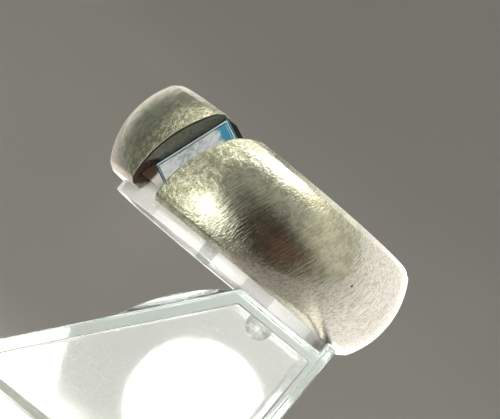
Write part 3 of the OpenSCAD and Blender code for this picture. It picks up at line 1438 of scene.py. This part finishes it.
@dataclass(frozen=True)
class Aquamarine:
    """Milky blue stone, its table rubbed white by fine scratches and painted white as painted glare except
    near one end, with painted shade on its crown facets and a painted highlight on a thin ledge.
    """

    # A dark copy of the stone's blue for the crown facets: painted shade.
    shaded_facets: Colour = (0.03, 0.105, 0.125, 1.0)
    table: Colour = (0.07, 0.34, 0.50, 1.0)
    rubbed: Colour = (0.46, 0.50, 0.50, 1.0)
    # White for the table's rubbed skin and painted glare, and for the painted highlight on the ledge.
    frost_and_glare: Colour = (0.95, 1.0, 0.99, 1.0)
    clearness: float = 0.5
    clear_end: float = 1.9
    least_white: float = -0.3
    # Heights of a thin ledge of the crown that is painted white as a painted highlight.
    ledge: tuple[float, float] = (-0.112, -0.104)
    scratched: Brush = Brush(math.radians(-82), 1.2, 0.1)
    grain_size: float = 0.2
    polished: float = 0.03

    def film_and_glare(self, g: Graph, wrap: Socket, along: Socket, scratches: Socket, grain: Socket) -> Socket:
        """Masks the white on the table, partly a rubbed skin of scratches and partly painted glare: cloudy,
        scratched, and thinnest near the middle.

        Args:
            g: the material's graph.
            wrap: the point in the table's frame.
            along: its place along the stone.
            scratches: the mask of the deepest scratches.
            grain: the height of the grains.

        Returns:
            The mask, which can pass 0 and 1.
        """
        off_middle = g.math("ABSOLUTE", g.plus(along, -self.least_white))
        film_and_glare = g.ease(off_middle, 0.2, 2.0, 0.5, 1.0)
        film_and_glare = g.plus(film_and_glare, g.ease(g.noise(wrap, 2.4), 0.4, 0.6, -0.35, 0.35))
        film_and_glare = g.plus(film_and_glare, g.ease(grain, 0.4, 0.62, -0.14, 0.14))
        return g.plus(film_and_glare, g.times(scratches, 0.4))

    def material(self, groups: Groups) -> bpy.types.Material:
        """Makes the finish.

        Args:
            groups: the effects that several finishes share.

        Returns:
            The finished material.
        """
        material, g = new_material("aquamarine")
        wrap = g.attribute("wrap", "Vector")
        _, along, height = g.split(wrap)
        marks, scratches = self.scratched.draw(g, groups, wrap)
        grain = groups.grains(g, wrap, self.grain_size)
        on_table = g.ease(height, -0.06, -0.02)
        edge = g.plus(along, g.times(g.minus(g.noise(wrap, 1.6, 3.0), 0.5), 1.6))
        dull = g.times(on_table, g.ease(edge, self.clear_end + 0.2, self.clear_end - 0.2))
        film_and_glare = self.film_and_glare(g, wrap, along, scratches, grain)
        low, high = self.ledge
        ledge = g.times(g.ease(height, low - 0.004, low), g.ease(height, high + 0.004, high))
        # Partly real rubbing, partly painted glare: the table is painted white.
        white = g.mix(g.larger(film_and_glare, 0.0, clamp=True), self.rubbed, self.frost_and_glare)
        # Painted shade: the crown facets are painted a much darker blue than the table.
        colour = g.mix(dull, g.mix(on_table, self.shaded_facets, self.table), white)
        close_material(g, {
            # Painted highlight: the thin ledge is painted white.
            "Base Color": g.mix(ledge, colour, self.frost_and_glare),
            "Roughness": g.larger(g.times(dull, 0.35), self.polished),
            "IOR": 1.58,
            "Transmission Weight": self.clearness,
            "Coat Weight": g.times(g.times(dull, film_and_glare, clamp=True), 0.6),
            "Coat Roughness": 0.3,
            "Coat IOR": 3.2,
            "Normal": g.bump(g.times(dull, g.plus(marks, grain)), 0.8, 0.02),
        })
        return material


@dataclass(frozen=True)
class ClearPlastic:
    """Clear moulded plastic, a little milky and rubbed, and darker where it is looked at edge-on.

    Shade stripes are (left, right, shade): stripes along X, in millimetres, where the milky tint is painted
    grey as painted shade.
    """

    name: str
    tint: Colour
    clearness: float
    haze: float
    # Stripes where the tint is painted grey as painted shade, and how soft their edges are.
    shade_stripes: tuple[tuple[float, float, float], ...] = ()
    shade_stripe_edge: float = 0.04
    rubbed: Brush = Brush(0.6, 2.4, 0.07)
    smear_scale: float = 0.28
    grain_size: float = 0.3
    depth_tint: Colour = (0.72, 0.80, 0.76, 1.0)
    depth_density: float = 60.0

    def material(self, groups: Groups) -> bpy.types.Material:
        """Makes the finish.

        Args:
            groups: the effects that several finishes share.

        Returns:
            The finished material.
        """
        material, g = new_material(self.name)
        spot = g.millimetres()
        smear = g.noise(spot, self.smear_scale, 3.0)
        rubs, scratches = self.rubbed.draw(g, groups, spot)
        grain = groups.grains(g, spot, self.grain_size)
        rough = g.ease(smear, 0.4, 0.7, self.haze * 0.4, self.haze)
        across = g.split(spot)[0]
        streaks = g.ease(rubs, 0.35, 0.65, 0.75, 1.0)
        tint = self.tint
        # Painted shade: grey stripes across the tube, streaked along the rub marks.
        for left, right, shade in self.shade_stripes:
            stripe = g.inside(across, left, right, self.shade_stripe_edge)
            tint = g.mix(g.times(stripe, streaks), tint, (shade, shade, shade * 0.96, 1.0))
        inside = g.add("VolumeAbsorption", {"Color": self.depth_tint, "Density": self.depth_density})
        close_material(g, {
            "Base Color": tint,
            "Roughness": g.plus(rough, g.times(scratches, 0.25)),
            "IOR": 1.49,
            "Specular IOR Level": 0.3,
            "Transmission Weight": self.clearness,
            "Normal": g.bump(g.times_plus(grain, 0.15, g.times(smear, 1.2)), 0.4, 0.02),
        }, inside)
        return material


# Stripes of painted shade on the clip tube: (left, right, shade) in millimetres along X.
TUBE_SHADE_STRIPES = ((-9.0, -5.7, 0.75), (-1.85, -0.75, 0.5), (1.8, 4.1, 0.6), (7.4, 9.0, 0.65))
TUBE_ROOM = 0.05


def dress(obj: Piece, material: bpy.types.Material) -> None:
    """Gives an object one material."""
    obj.data.materials.clear()
    obj.data.materials.append(material)


@dataclass(frozen=True)
class Lamp:
    """A soft lamp: place and aim in millimetres from the ring's centre, size in millimetres."""

    name: str
    place: tuple[float, float, float]
    size: tuple[float, float]
    glow: float
    colour: tuple[float, float, float] = (1.0, 1.0, 1.0)
    aim: tuple[float, float, float] = (0.0, 0.0, 0.0)
    face: LampFace = LampFace.OBLONG
    spin: float = 0.0
    beam: float = 180.0
    through_glass: bool = True

    def build(self, centre: Vector) -> Piece:
        """Makes the lamp; glow is the radiance of its face, so its power follows from its size.

        Args:
            centre: the ring's centre in millimetres.

        Returns:
            The lamp as an object.
        """
        data = bpy.data.lights.new(self.name, "AREA")
        data.shape = self.face.value
        data.size, data.size_y = self.size[0] * MM, self.size[1] * MM
        area = data.size * data.size_y * (math.pi / 4 if self.face is LampFace.ROUND else 1.0)
        data.energy = self.glow * area * math.pi
        data.color = self.colour
        data.spread = math.radians(self.beam)
        lamp = bpy.data.objects.new(self.name, data)
        bpy.context.scene.collection.objects.link(lamp)
        lamp.location = (centre + Vector(self.place)) * MM
        facing = (Vector(self.aim) - Vector(self.place)).to_track_quat("-Z", "Y")
        lamp.rotation_mode = "QUATERNION"
        lamp.rotation_quaternion = facing @ Matrix.Rotation(self.spin, 3, "Z").to_quaternion()
        lamp.visible_camera = False
        lamp.visible_glossy = False
        lamp.visible_transmission = self.through_glass
        return lamp


@dataclass(frozen=True)
class Panel:
    """A soft panel of light in the surroundings.

    Bearings run from 0 in front to 90 on the right and -90 on the left, heights from -90 to 90 degrees.
    """

    bearing: tuple[float, float]
    height: tuple[float, float]
    glow: float
    colour: tuple[float, float, float] = (1.0, 1.0, 1.0)
    soft: tuple[float, float] = (8.0, 8.0)

    def lit(self, g: Graph, bearing: Socket, height: Socket, light: Triple) -> Socket:
        """Adds the panel's light.

        Args:
            g: the world's graph.
            bearing: the socket that gives a ray's bearing.
            height: the socket that gives a ray's height.
            light: the light to add to.

        Returns:
            The socket of the sum.
        """
        across = g.inside(bearing, *self.bearing, self.soft[0])
        up = g.inside(height, *self.height, self.soft[1])
        lit = tuple(c * self.glow for c in self.colour)
        return g.vector("ADD", light, g.scaled(lit, g.times(across, up)))


PANELS = (
    Panel((-50, -28), (-41, -19), 3.5, (1.0, 1.0, 0.97), (3, 4)),
    Panel((-74, -46), (-46, -33), 3.2, (1.0, 1.0, 0.9), (3, 4)),
    Panel((-62, -30), (-53, -45), 0.8, (0.72, 1.0, 0.93), (4, 3)),
    Panel((-96, -69), (20, 52), 1.8, (1.0, 1.0, 0.93), (5, 8)),
    Panel((-60, -38), (-26, 0), 0.7, (1.0, 1.0, 0.9), (6, 8)),
    Panel((-80, 2), (55, 120), 5.0, soft=(6, 4)),
    Panel((-4, 46), (54, 120), 1.1, (1.0, 0.92, 0.74), (6, 5)),
    Panel((-111, -84), (26, 66), 0.9, (1.0, 0.99, 0.86), (3, 14)),
    Panel((-140, -100), (48, 80), 0.3, (1.0, 0.99, 0.88), (5, 8)),
    Panel((-146, -104), (-40, 70), 0.14, (0.92, 1.0, 0.94), (4, 12)),
    Panel((-100, -30), (24, 90), 0.22, (0.98, 1.0, 0.94), (8, 12)),
    Panel((-30, 30), (18, 90), 0.3, (0.98, 1.0, 0.92), (10, 14)),
    Panel((-95, -18), (-48, 24), 0.24, (0.98, 1.0, 0.95), (5, 8)),
    Panel((-95, -18), (-90, -48), 0.09, (1.0, 0.95, 0.86), (5, 6)),
    Panel((28, 64), (6, 90), 0.48, (1.0, 0.92, 0.80), (10, 12)),
    Panel((90, 200), (-90, 90), 1.0, soft=(8, 14)),
    Panel((52, 90), (-60, 60), 0.37, (1.0, 0.98, 0.9), (8, 14)),
    Panel((-22, 60), (-90, -46), 0.22, (1.0, 0.92, 0.84), (8, 8)),
    Panel((14, 42), (-30, -2), 0.08, (1.0, 0.36, 0.28), (6, 8)),
    Panel((156, 200), (-70, 22), 2.5, soft=(3, 10)),
    Panel((-200, -150), (-70, 40), 1.0, (1.0, 0.96, 0.88), (4, 12)),
)


@dataclass
class Studio:
    """The pale floor with its raised rim, the lamps, the grey surroundings and the camera."""

    centre: Vector
    floor_flat: float = 330.0
    rim_r: float = 260.0
    rim_turn: float = math.radians(70)
    roll: float = math.radians(39.5)
    aim: Vector = field(default_factory=lambda: Vector((-0.96, 0.0, 20.19)))
    eye: Vector = field(default_factory=lambda: Vector((-0.96, -249.7, 8.85)))
    lens: float = 261.9
    rim_pieces: int = 24
    floor_pieces: int = 8
    floor_sides: int = 96
    pale: Colour = (0.86, 0.84, 0.79, 1.0)
    far_grey: Colour = (0.70, 0.69, 0.66, 1.0)
    gloom: tuple[float, float, float] = (0.05, 0.043, 0.036)
    ambient: Colour = (0.235, 0.228, 0.21, 1.0)

    def floor(self) -> Piece:
        """Makes the floor: flat under the stand, and curving up all round far from it.

        Returns:
            The floor as an object.
        """
        profile = [Vector((1.0, 0.0))]
        for k in range(1, self.floor_pieces + 1):
            profile.append(Vector((self.floor_flat * k / self.floor_pieces, 0.0)))
        for k in range(1, self.rim_pieces + 1):
            a = self.rim_turn * k / self.rim_pieces
            out, rise = self.rim_r * math.sin(a), self.rim_r * (1 - math.cos(a))
            profile.append(Vector((self.floor_flat + out, rise)))
        spots, faces = loft(lathe(profile, self.floor_sides, Vector()))
        floor = make_object("floor", spots, faces[:-1])
        floor.data.shade_smooth()
        floor.visible_glossy = False
        return floor

    def floor_material(self) -> bpy.types.Material:
        """Makes the floor's plain pale finish.

        Returns:
            The finished material.
        """
        material, g = new_material("pale_floor")
        place = g.add("TexCoord").outputs["Object"]
        cloud = g.ease(g.noise(place, 9.0, 3.0), 0.3, 0.7, -0.015, 0.015)
        shade = g.ease(g.plus(g.split(place)[2], cloud), 0.01, 0.09)
        colour = g.mix(shade, self.pale, self.far_grey)
        close_material(g, {"Base Color": colour, "Roughness": 0.9, "Specular IOR Level": 0.1})
        return material

    def surroundings(self) -> None:
        """Sets the world: soft panels in a dark room for reflections, and an even grey for all else."""
        world = bpy.data.worlds.new("surroundings")
        world.use_nodes = True
        world.node_tree.nodes.clear()
        g = Graph(world.node_tree)
        right, back, up = g.split(g.add("TexCoord").outputs["Generated"])
        bearing = g.math("DEGREES", g.math("ARCTAN2", right, g.times(back, -1.0)))
        height = g.math("DEGREES", g.math("ARCSINE", up))
        light = self.gloom
        for panel in PANELS:
            light = panel.lit(g, bearing, height, light)
        mirrored = g.add("LightPath").outputs["Is Glossy Ray"]
        shader = g.add("Background", {"Color": g.mix(mirrored, self.ambient, light)})
        g.add("OutputWorld", {"Surface": shader.outputs[0]})
        bpy.context.scene.world = world

    def lamps(self) -> None:
        """Hangs the lamps."""
        for lamp in (
            Lamp("floor_wash", (0, 0, 230), (60, 60), 7.0, aim=(0, 0, -20), beam=40.0, through_glass=False),
            Lamp("front_fill", (-70, -220, 50), (120, 80), 1.6, beam=60.0, through_glass=False),
            Lamp("tube_glow", (25, -225, -10), (8, 8), 2.4, aim=(6, -9, -4.1), beam=5.0, through_glass=False),
            Lamp("card_behind", (0, 45, -12), (70, 17), 0.53, aim=(0, 0, -12)),
            Lamp("strip_behind", (-4, 44, -2.2), (50, 2.8), 1.5, aim=(-4, 0, -2.2)),
            Lamp("glare_behind", (-11.4, 44, -20.6), (15, 15), 1.1, aim=(-11.4, 0, -20.6), spin=-0.42),
            Lamp("disc_behind", (5.6, 40, -13.1), (11, 11), 2.0, face=LampFace.ROUND, aim=(5.6, 0, -13.1)),
        ):
            lamp.build(self.centre)

    def camera(self) -> None:
        """Sets the camera where the photograph was taken from, rolled to its slant."""
        data = bpy.data.cameras.new("camera")
        data.lens = self.lens
        data.clip_start, data.clip_end = 0.01, 10.0
        camera = bpy.data.objects.new("camera", data)
        bpy.context.scene.collection.objects.link(camera)
        ahead = (self.aim - self.eye).normalized()
        level = ahead.cross(Vector((0, 0, 1))).normalized()
        upright = level.cross(ahead)
        right = level * math.cos(self.roll) + upright * math.sin(self.roll)
        up = upright * math.cos(self.roll) - level * math.sin(self.roll)
        turn = Matrix((right, up, -ahead)).transposed()
        camera.matrix_world = Matrix.Translation(self.eye * MM) @ turn.to_4x4()
        bpy.context.scene.camera = camera


def main() -> None:
    """Builds the pieces in order, dresses them and sets up the studio."""
    logging.basicConfig(level=logging.INFO, format="%(message)s")
    band_low, band_high = corner_box("band")
    tube_low, tube_high = corner_box("clip_loop")
    base_low, base_high = corner_box("stand_base")
    middle = (band_low.z + band_high.z) / 2
    slot = Slot(band_z=middle, half_w=(band_high.z - band_low.z) / 2)
    stone = Stone(slot)
    band = Band(slot, stone, crown_r=band_high.y)
    groups = Groups(brush_group(), speckle_group())

    silver = band.build()
    dress(silver, SatinSilver(band.scorch_place()).material(groups))
    settle(silver, "band")

    gem = stone.build()
    dress(gem, Aquamarine().material(groups))
    settle(gem, "aquamarine")

    tube = ClipTube(tube_low, tube_high).build()
    milky = ClearPlastic("clear_tube", tint=(0.97, 0.98, 0.95, 1.0), clearness=0.4, haze=0.2, shade_stripes=TUBE_SHADE_STRIPES)
    dress(tube, milky.material(groups))
    settle(tube, "clip_loop")

    base = StandBase(base_low, base_high, tube_r=tube_high.y + TUBE_ROOM).build()
    clear = ClearPlastic("clear_base", tint=(0.96, 0.975, 0.95, 1.0), clearness=0.93, haze=0.09)
    dress(base, clear.material(groups))
    settle(base, "stand_base")

    studio = Studio(Vector((0.0, 0.0, middle)))
    dress(studio.floor(), studio.floor_material())
    studio.surroundings()
    studio.lamps()
    studio.camera()
    bpy.context.scene.view_settings.view_transform = "Standard"

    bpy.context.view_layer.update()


if __name__ == "__main__":
    main()
